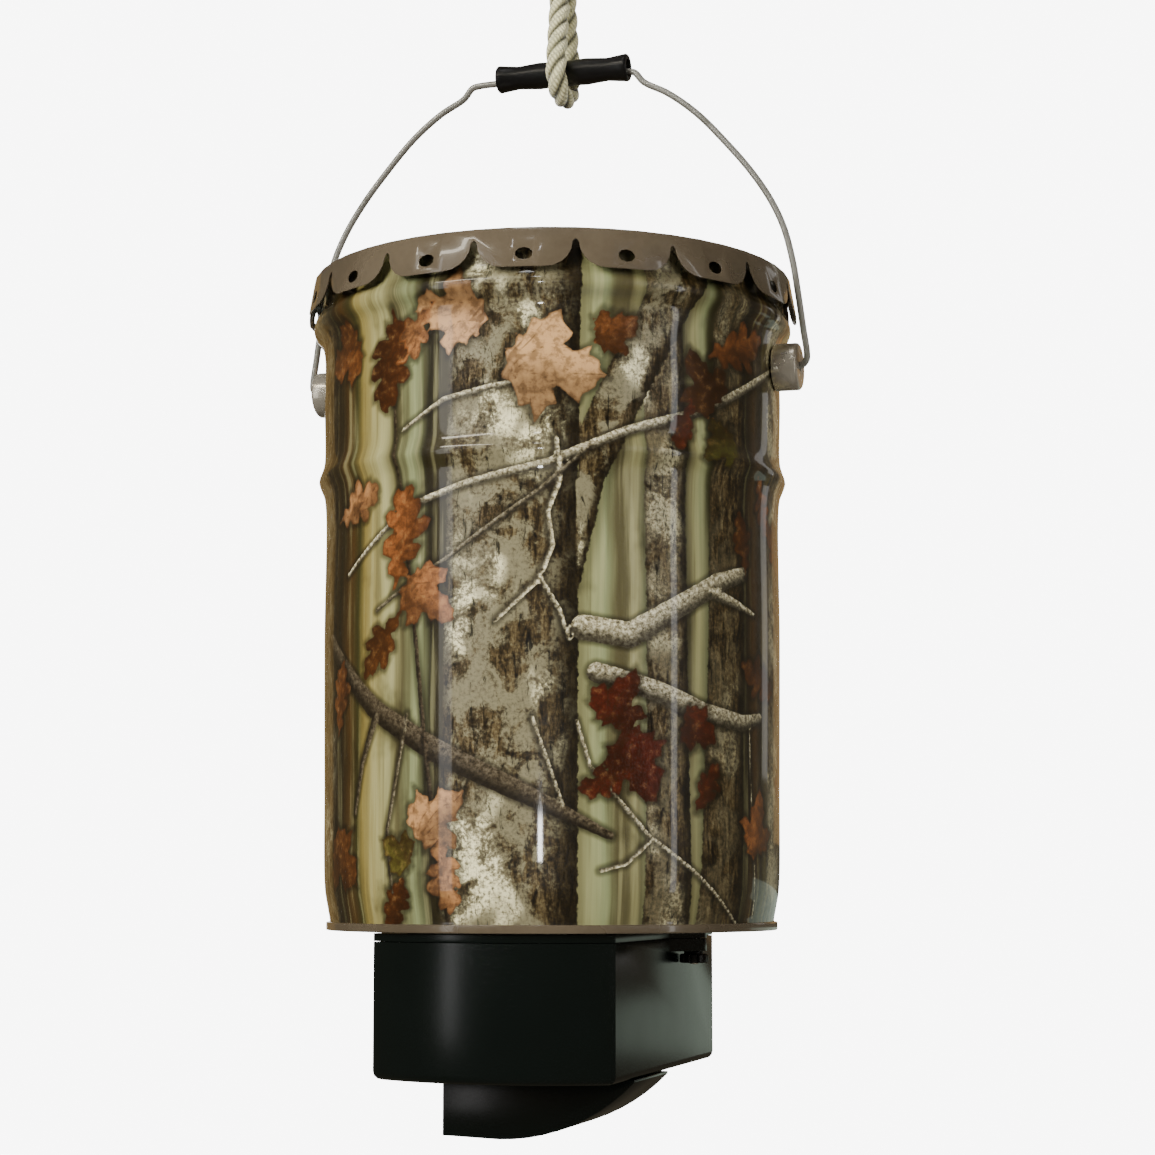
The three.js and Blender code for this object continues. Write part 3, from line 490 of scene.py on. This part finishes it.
# A limb is a line of [s, z, half width], and its tone runs from 0 (dark) to 1 (pale).
TRUNKS = [  # limb, tone; the nearest first
    ([(-28, -10, 43), (-26, 120, 41), (-25, 250, 40), (-22, 400, 39)], 1.0),
    ([(6, 205, 11), (19, 268, 13), (37, 306, 14), (57, 344, 14.5), (78, 383, 15), (92, 410, 15)], 0.85),
    ([(72, -10, 17), (71, 140, 14), (69, 300, 14), (66, 400, 13)], 0.3),
    ([(113, -10, 20), (117, 150, 17), (121, 400, 15)], 0.02),
    ([(-190, -10, 26), (-192, 200, 24), (-186, 400, 23)], 0.25),
    ([(184, -10, 22), (188, 200, 20), (180, 400, 19)], 0.4),
]
BRANCHES = [  # limb, tone
    ([(-150, 214, 1.3), (-92, 250, 2.0), (-50, 262, 2.2), (-2, 272, 2.6), (44, 292, 2.8), (96, 308, 3.0),
      (150, 334, 2.6), (190, 352, 1.4)], 0.9),
    ([(-96, 296, 1.2), (-66, 312, 1.6), (-34, 318, 1.8), (-8, 322, 1.2)], 0.9),
    ([(2, 286, 1.6), (4, 262, 1.8), (-3, 244, 1.7), (0, 224, 1.6), (-8, 204, 1.6), (-34, 180, 1.2)], 0.95),
    ([(-8, 206, 1.5), (4, 186, 1.5), (10, 168, 1.2)], 0.95),
    ([(-118, 190, 1.2), (-64, 218, 1.5), (-8, 256, 1.5), (22, 282, 1.2)], 0.35),
    ([(18, 176, 7.5), (46, 172, 7.5), (78, 190, 6.6), (108, 206, 6), (134, 214, 4.4)], 0.85),
    ([(104, 200, 3.6), (122, 196, 3.0), (146, 190, 1.4)], 0.85),
    ([(26, 150, 6), (64, 140, 6.2), (98, 128, 6.4), (132, 124, 5), (154, 128, 3)], 0.7),
    ([(-176, 176, 5), (-120, 132, 6.4), (-72, 106, 7), (-20, 82, 6), (34, 56, 2.4)], 0.15),
    ([(-118, 128, 3), (-132, 100, 2), (-140, 70, 1.3)], 0.2),
    ([(14, 122, 1.3), (22, 96, 1.3), (58, 56, 1.5), (92, 34, 1.4), (132, 4, 1.2)], 0.85),
    ([(60, 54, 1.2), (44, 40, 1.2), (28, 36, 1.2)], 0.85),
    ([(-12, 124, 1.4), (-2, 96, 1.3), (6, 74, 1.2)], 0.8),
    ([(-92, 128, 1.2), (-108, 60, 1.5), (-104, 20, 1.2)], 0.3),
    ([(-106, 345, 1.1), (-98, 260, 1.3), (-87, 183, 1.5), (-78, 100, 1.6), (-64, 4, 1.8)], 0.1),
    ([(140, 120, 1.0), (144, 60, 1.0), (150, 8, 1.2)], 0.75),
    ([(200, 300, 1.4), (188, 250, 2), (204, 190, 2.4), (196, 130, 2)], 0.6),
]
# Half outlines of a leaf from its stem to its tip, as [across, along] in leaf lengths.
MAPLE = [(0.03, -0.62), (0.14, -0.5), (0.4, -0.56), (0.38, -0.42), (0.7, -0.3), (0.62, -0.14), (0.9, 0.1),
         (0.7, 0.14), (0.6, 0.26), (0.36, 0.16), (0.33, 0.3), (0.44, 0.56), (0.3, 0.58), (0.2, 0.8), (0.08, 0.84),
         (0, 1.02)]
OAK = [(0.04, -0.95), (0.06, -0.7), (0.24, -0.64), (0.25, -0.48), (0.12, -0.38), (0.4, -0.26), (0.5, -0.06),
       (0.36, 0.02), (0.17, 0), (0.48, 0.18), (0.54, 0.36), (0.4, 0.45), (0.2, 0.38), (0.36, 0.62), (0.3, 0.78),
       (0.14, 0.78), (0.1, 0.93), (0, 1.0)]
RIBS = {"maple": [(0, 1), (0.42, 0.52), (-0.42, 0.52), (0.85, 0.05), (-0.85, 0.05), (0.55, -0.4), (-0.55, -0.4)],
        "oak": [(0, 0.95), (0.32, 0.72), (-0.32, 0.72), (0.48, 0.36), (-0.48, 0.36), (0.44, -0.1), (-0.44, -0.1)]}
# s, z, half length, direction of the tip in degrees, tone (0 red-brown, 0.33 orange-brown, 0.66 tan, 1 green), kind
LEAVES = [
    (-4, 331, 40, -14, 0.66, "maple"), (-58, 362, 30, 170, 0.6, "maple"), (-88, 352, 24, 230, 0.46, "oak"),
    (-106, 340, 33, 262, 0.2, "oak"), (-97, 232, 34, 78, 0.4, "oak"), (-80, 198, 27, -40, 0.44, "maple"),
    (-113, 170, 25, 230, 0.26, "oak"), (-74, 66, 27, 40, 0.56, "maple"), (-66, 34, 24, -80, 0.5, "oak"),
    (-98, 46, 18, 150, 0.97, "maple"), (-104, 14, 20, 60, 0.2, "oak"), (38, 132, 24, 60, 0.05, "maple"),
    (50, 100, 29, -60, 0.02, "maple"), (34, 88, 20, 200, 0.07, "oak"), (36, 350, 20, 30, 0.3, "maple"),
    (98, 322, 26, 120, 0.22, "maple"), (128, 350, 30, 20, 0.34, "oak"), (82, 298, 17, 250, 0.12, "oak"),
    (112, 290, 21, 210, 0.98, "maple"), (92, 120, 20, -30, 0.1, "maple"), (100, 84, 18, 60, 0.14, "oak"),
    (134, 232, 20, 100, 0.26, "oak"), (-150, 350, 28, 200, 0.3, "maple"), (-160, 140, 24, 80, 0.3, "oak"),
    (-140, 256, 26, 20, 0.5, "oak"), (156, 150, 26, 160, 0.26, "oak"), (150, 60, 26, 80, 0.42, "maple"),
    (-158, 44, 28, -40, 0.26, "maple"), (196, 352, 28, 0, 0.55, "maple"), (204, 90, 27, 90, 0.1, "maple"),
    (160, 258, 22, -60, 0.34, "oak"), (190, 232, 28, 140, 0.3, "oak"),
]
# The blurred wood behind everything, as [s, colour].
PALE, PALE_GREEN, STRAW = (0.34, 0.33, 0.2), (0.25, 0.275, 0.175), (0.24, 0.2, 0.085)
GREY_STEM, DARK_STEM = (0.115, 0.105, 0.062), (0.022, 0.018, 0.009)
BROWN_STEM, OLIVE_STEM = (0.085, 0.052, 0.02), (0.055, 0.053, 0.022)
BACKDROP = [
    (-227, STRAW), (-214, OLIVE_STEM), (-196, PALE), (-176, BROWN_STEM), (-160, DARK_STEM), (-146, BROWN_STEM),
    (-137, OLIVE_STEM), (-130, STRAW), (-108, PALE), (-98, GREY_STEM), (-86, PALE_GREEN), (-76, DARK_STEM),
    (-60, GREY_STEM), (12, PALE), (30, PALE_GREEN), (37, GREY_STEM), (44, GREY_STEM), (50, PALE), (56, PALE_GREEN),
    (80, DARK_STEM), (90, PALE), (98, PALE_GREEN), (104, OLIVE_STEM), (116, GREY_STEM), (124, OLIVE_STEM),
    (136, DARK_STEM), (148, BROWN_STEM), (156, DARK_STEM), (166, STRAW), (182, BROWN_STEM), (206, PALE_GREEN),
    (227, STRAW),
]


def wrap(s):
    """The shortest way round the repeat."""
    return (s + REPEAT / 2) % REPEAT - REPEAT / 2


def limb_depth(s, z, limb):
    """How deep each place lies in a limb, in millimetres, and which side of its middle, from -1 to 1."""
    best, across = np.full(s.shape, -1e3), np.zeros(s.shape)
    for (s0, z0, w0), (s1, z1, w1) in zip(limb, limb[1:]):
        ds, dz = s1 - s0, z1 - z0
        ps, pz = wrap(s - s0), z - z0
        t = np.clip((ps * ds + pz * dz) / (ds * ds + dz * dz), 0, 1)
        width = w0 + (w1 - w0) * t
        off = np.hypot(ps - t * ds, pz - t * dz)
        side = np.sign(ds * pz - dz * ps)
        nearer = width - off > best
        best = np.where(nearer, width - off, best)
        across = np.where(nearer, side * np.clip(off / width, 0, 1), across)
    return best, across


def turned_leaf(points, turn, size):
    """Leaf points turned so that the tip lies in the direction of turn."""
    across, along = np.asarray(points, float).T * size
    c, d = math.cos(math.radians(turn)), math.sin(math.radians(turn))
    return np.stack([along * c + across * d, along * d - across * c], 1)


def leaf_outline(kind, turn, size):
    """A leaf's outline, a little narrower on its second side."""
    half = MAPLE if kind == "maple" else OAK
    uneven = [(-x * 0.92, y * 1.04 - 0.02) for x, y in reversed(half[:-1])]
    return turned_leaf(half + uneven, turn, size)


def polygon_depth(s, z, corners):
    """How deep each place lies in a polygon, in millimetres: negative outside it."""
    away, inside = np.full(s.shape, 1e3), np.zeros(s.shape, bool)
    for (s0, z0), (s1, z1) in zip(corners, np.roll(corners, -1, 0)):
        ds, dz = s1 - s0, z1 - z0
        t = np.clip(((s - s0) * ds + (z - z0) * dz) / (ds * ds + dz * dz), 0, 1)
        away = np.minimum(away, np.hypot(s - s0 - t * ds, z - z0 - t * dz))
        crossing = ((z0 > z) != (z1 > z)) & (s < ds * (z - z0) / (dz if abs(dz) > 1e-9 else 1e-9) + s0)
        inside ^= crossing
    return np.where(inside, away, -away)


def paint_print(piece, s, z):
    """Stores the print's drawing on the mesh as depths into its trunks, branches and leaves."""
    def hides(new, old):
        """Where a depth covers what was drawn before, or lies nearer where nothing is drawn."""
        return (new > 0) | ((new > old) & (old <= 0))

    def layer(limbs, name):
        depth, across, tone = np.full(s.shape, -OUT_OF_REACH), np.zeros(s.shape), np.zeros(s.shape)
        for limb, how_pale in limbs:
            d, side = limb_depth(s, z, limb)
            over = hides(d, depth)
            for values, new in ((depth, d), (across, side), (tone, how_pale)):
                np.copyto(values, new, where=over)
        for part, values in (("", depth), ("_side", across), ("_tone", tone)):
            set_values(piece, name + part, values)

    layer(TRUNKS[::-1], "trunk")
    layer(BRANCHES, "branch")
    depth, vein = np.full(s.shape, -OUT_OF_REACH), np.full(s.shape, OUT_OF_REACH)
    tone, lit = np.zeros(s.shape), np.zeros(s.shape)
    for s0, z0, size, turn, colour, kind in LEAVES:
        ps, pz = wrap(s - s0), z - z0
        near = np.hypot(ps, pz) < size * 1.1 + 8
        ps, pz = ps[near], pz[near]
        lean = size * 0.05
        ps, pz = ps + lean * np.sin(pz * 7 / size + s0), pz + lean * np.sin(ps * 8 / size + z0)  # uneven and curled
        d = polygon_depth(ps, pz, leaf_outline(kind, turn, size))
        base, *tips = turned_leaf([(0, -0.55), *RIBS[kind]], turn, size)
        ribs = np.full(d.shape, 1e3)
        for tip in tips:
            start = base if tip is tips[0] or kind == "maple" else base * 0.4 + tip * 0.1
            ds, dz = tip - start
            t = np.clip(((ps - start[0]) * ds + (pz - start[1]) * dz) / (ds * ds + dz * dz), 0, 1)
            ribs = np.minimum(ribs, np.hypot(ps - start[0] - t * ds, pz - start[1] - t * dz))
        over = hides(d, depth[near])
        fold = np.clip((ps * math.sin(math.radians(turn)) - pz * math.cos(math.radians(turn))) / (0.3 * size), -1, 1)
        for values, new in ((depth, d), (tone, np.full(d.shape, colour)), (vein, ribs), (lit, fold)):
            values[near] = np.where(over, new, values[near])
    for name, values in (("leaf", depth), ("leaf_tone", tone), ("leaf_vein", vein), ("leaf_lit", lit)):
        set_values(piece, name, values)
    set_values(piece, "print_s", s)
    set_values(piece, "print_z", z)


def camo_print(name):
    """Woodland print under a clear coat: pale lichened trunks, dead branches and autumn leaves on soft bands."""
    m = Nodes(name, Metallic=0.0, Coat_Weight=1.0, Coat_Roughness=0.05, Specular_IOR_Level=0.5)
    s, z = m.attribute("print_s"), m.attribute("print_z")

    def flat(along, up):
        """The place on the print, scaled."""
        return m.node("ShaderNodeCombineXYZ", {0: m.mul(s, along), 1: m.mul(z, up), 2: 0.0}).outputs[0]

    rough_edge = m.sub(m.mul(m.noise(flat(0.22, 0.22), 1.0, 5, 0.65), 2.0), 1.0)
    # the blurred wood behind: upright bands that waver and change along their height
    waver = m.mul(m.sub(m.noise(flat(0.012, 0.009), 1.0, 2), 0.5), 16.0)
    place = m.math("WRAP", m.add(s, waver), REPEAT / 2, -REPEAT / 2)
    base = m.ramp(m.math("DIVIDE", m.add(place, REPEAT / 2), REPEAT),
                  [((at + REPEAT / 2) / REPEAT, colour) for at, colour in BACKDROP])
    bands = m.noise(flat(0.16, 0.006), 1.0, 3, 0.6)
    base = m.mix(m.mul(m.step(bands, 0.5, 0.68), 0.42), base, (0.07, 0.056, 0.03))
    base = m.mix(m.mul(m.step(bands, 0.5, 0.34), 0.35), base, (0.42, 0.41, 0.27))
    dim = m.step(m.noise(flat(0.022, 0.014), 1.0, 4, 0.6), 0.52, 0.7)
    base = m.mix(m.mul(dim, 0.55), base, (0.03, 0.024, 0.011))
    # trunks: furrowed bark under crusty lichen, lit from the left
    depth, side, tone = (m.attribute("trunk" + part) for part in ("", "_side", "_tone"))
    inside = m.step(m.add(depth, m.mul(rough_edge, 2.4)), -0.4, 0.7)
    fissure = m.noise(flat(0.26, 0.055), 1.0, 6, 0.7, 0.6)
    crust = m.noise(flat(0.052, 0.045), 1.0, 7, 0.64, 0.6)
    speck = m.noise(flat(0.5, 0.46), 1.0, 4, 0.65)
    blotch = m.noise(flat(0.019, 0.013), 1.0, 3, 0.5)
    away = m.mul(side, -1.0)
    bark = m.ramp(m.add(m.mul(fissure, 0.7), m.mul(speck, 0.3)), [
        (0.38, (0.008, 0.006, 0.003)), (0.48, (0.05, 0.037, 0.02)), (0.56, (0.13, 0.102, 0.06)),
        (0.66, (0.24, 0.21, 0.14))])
    growth = m.add(m.add(m.mul(crust, 0.62), m.mul(blotch, 0.38)), m.mul(m.sub(speck, 0.5), 0.12))
    growth = m.sub(growth, m.mul(m.step(away, 0.2, 1.0), 0.08))
    sunny = m.mul(m.step(blotch, 0.5, 0.6), m.step(growth, 0.49, 0.56))
    lichen = m.mix(m.step(m.add(m.mul(speck, 0.6), m.mul(crust, 0.4)), 0.4, 0.58), (0.15, 0.135, 0.1),
                   m.mix(sunny, (0.23, 0.215, 0.16), (0.72, 0.69, 0.53)))
    cover = m.mul(m.step(growth, 0.435, 0.51), m.step(tone, 0.0, 0.9, 0.25, 0.95))
    bark = m.mix(cover, bark, lichen)
    bark = m.mix(m.mul(m.step(fissure, 0.42, 0.34), 0.85), bark, (0.006, 0.004, 0.003))
    bark = m.mix(m.step(away, 0.4, 1.0, 0.0, 0.84), bark, (0.012, 0.009, 0.005))
    bark = m.mix(m.step(away, -0.8, -1.02, 0.0, 0.7), bark, (0.02, 0.015, 0.008))
    base = m.mix(m.mul(m.step(depth, -9, 0), 0.45), base, (0.02, 0.015, 0.007))
    base = m.mix(inside, base, bark)
    # branches and the shade below them
    depth, side, tone = (m.attribute("branch" + part) for part in ("", "_side", "_tone"))
    on = m.step(m.add(depth, m.mul(rough_edge, 0.7)), -0.25, 0.35)
    grain = m.noise(flat(0.4, 0.4), 1.0, 6, 0.7)
    wood = m.mix(tone, m.ramp(grain, [(0.32, (0.006, 0.004, 0.003)), (0.68, (0.06, 0.034, 0.017))]),
                 m.ramp(grain, [(0.34, (0.07, 0.06, 0.04)), (0.47, (0.36, 0.33, 0.25)), (0.6, (0.74, 0.71, 0.6))]))
    wood = m.mix(m.mul(m.step(side, 0.6, -0.8), 0.85), wood, (0.016, 0.012, 0.008))
    base = m.mix(m.mul(m.step(depth, -3.6, -0.2), 0.6), base, (0.014, 0.011, 0.007))
    base = m.mix(on, base, wood)
    # leaves
    depth, tone, vein, lit = (m.attribute("leaf" + part) for part in ("", "_tone", "_vein", "_lit"))
    on = m.step(m.add(depth, m.mul(rough_edge, 1.3)), -0.2, 0.35)
    mottle = m.noise(flat(0.16, 0.16), 1.0, 6, 0.65)
    skin = m.ramp(tone, [(0.0, (0.085, 0.018, 0.01)), (0.15, (0.11, 0.034, 0.014)), (0.22, (0.075, 0.036, 0.013)),
                         (0.4, (0.25, 0.11, 0.045)), (0.66, (0.52, 0.35, 0.21)), (0.85, (0.36, 0.24, 0.09)),
                         (1.0, (0.045, 0.06, 0.015))])
    skin = m.mix(m.step(mottle, 0.56, 0.38, 0.0, 0.75), skin, m.mix(0.6, skin, (0.03, 0.014, 0.006)))
    skin = m.mix(m.step(lit, -0.7, 1.0, 0.0, 0.55), skin, (0.03, 0.014, 0.006))
    skin = m.mix(m.step(mottle, 0.52, 0.72, 0.0, 0.22), skin, (0.55, 0.38, 0.2))
    skin = m.mix(m.mul(m.step(vein, 0.95, 0.2), 0.5), skin, (0.05, 0.026, 0.012))
    skin = m.mix(m.mul(m.step(depth, 1.6, 0.0), 0.5), skin, (0.04, 0.018, 0.008))
    base = m.mix(m.mul(m.step(depth, -4.0, -0.2), 0.6), base, (0.012, 0.009, 0.005))
    base = m.mix(on, base, skin)
    base = m.node("ShaderNodeGamma", {0: base, 1: 1.35}).outputs[0]  # the ink's deep, saturated tones
    base = m.mix(1.0, base, (1.0, 0.97, 0.8), "MULTIPLY")  # and its warm cast
    # the coat: slow waves under fine orange peel
    waves = m.noise(flat(0.02, 0.012), 1.0, 2)
    peel = m.noise(flat(1.1, 1.1), 1.0, 2)
    rough = m.step(mottle, 0.3, 0.7, 0.34, 0.46)
    return m.out(Base_Color=base, Roughness=rough, Normal=m.bump(peel, 0.02, 1.0, m.bump(waves, 2.2, 0.5)))


def pail_skin():
    """The pail's rolled sheet, closed over its rim curl and back down inside."""
    wall = [(139, 1.6), (139, 6), (140.4, 14), (142.3, 26), (143.2, 90), (144, 180), (144.5, 270), (146.9, 276.8),
            (148.2, 281), (146.9, 285.2), (145, 292), (145.2, 330), (145.2, 361), (147.1, 369.5), (151.3, 375),
            (152.3, 378.5), (151.2, 382.5), (148.6, 387), (147.6, 393), (147.4, 400.8)]  # [radius, height]
    outer = even_points(smooth_curve([(0, *point) for point in wall], 10), 2.2)[0][:, 1:]
    curl_r, curl_z, curl_radius = 148, 403.4, 2.6
    curl = [(curl_r + curl_radius * math.cos(math.radians(a)), curl_z + curl_radius * math.sin(math.radians(a)))
            for a in np.linspace(-45, 195, 10)]
    down, row = outer[::-1], np.arange(len(outer))
    height = down[:, 1]
    bent = (height < 30) | ((height > 264) & (height < 298)) | (height > 358)
    kept = np.where(bent, row % 2 == 0, row % 9 == 0) | (row == row[-1])  # fewer rows where the wall is straight
    lining_gap = 0.9
    inner = down[kept] - (lining_gap, 0)
    profile = np.vstack([outer, curl, inner])
    columns = 420
    angle = np.linspace(-np.pi, np.pi, columns, endpoint=False)
    bearing = angle + math.radians(VIEW_AZIMUTH)
    r, h = profile[:, 0][:, None], profile[:, 1][:, None]
    vertices = np.stack([(r * np.sin(bearing)).ravel(), (-r * np.cos(bearing)).ravel(),
                         (h + 0 * bearing + FOOT).ravel()], 1)
    skin = new_piece("pail_skin", vertices, grid_faces(len(profile), columns), camo_print("woodland_print"), "pail",
                     "camo_print", ["pail_body"])
    s = np.broadcast_to(angle * PRINT_R, (len(profile), columns))
    z = np.broadcast_to(h, (len(profile), columns))
    paint_print(skin, s.ravel(), z.ravel())
    skin.data.materials.append(LOOKS["lining"])
    row = np.arange(len(skin.data.polygons)) // columns
    skin.data.polygons.foreach_set("material_index", (row >= len(outer) + len(curl) // 2).astype(np.int32))
    return skin


# The small bright lamp is seen in the pail's gloss only.
spark_lit = bpy.data.collections.new("spark_lit")
spark_lit.objects.link(pail_skin())
spark.light_linking.receiver_collection = spark_lit

# ---------------------------------------------------------------- the CAD nodes' looks

replaced = {"hang_rope", "pail_body", "bail_wire"}
slots = {part["node"]: part["material_slot"] for part in frame["record"]["subparts"]}
for node in NODES:
    if node not in replaced:
        dress(node, LOOKS[slots[node]])

# ---------------------------------------------------------------- floor


def pale_floor():
    """As bright as the backdrop."""
    m = Nodes("pale_floor", Roughness=0.85, Emission_Strength=FLOOR_GLOW)
    cloud = m.noise(m.place(), 2.5, 3)
    pale = m.mix(cloud, (0.9, 0.9, 0.9), (0.96, 0.96, 0.96))
    return m.out(Base_Color=pale, Emission_Color=pale)


reach, level = 14, -2.4
floor_mesh = bpy.data.meshes.new("floor")
corners = [(-reach, -reach, level), (reach, -reach, level), (reach, reach, level), (-reach, reach, level)]
floor_mesh.from_pydata(corners, [], [(0, 1, 2, 3)])
floor_mesh.materials.append(pale_floor())
floor = bpy.data.objects.new("floor", floor_mesh)
floor.visible_diffuse = floor.visible_glossy = floor.visible_shadow = False  # it lights nothing
bpy.context.collection.objects.link(floor)
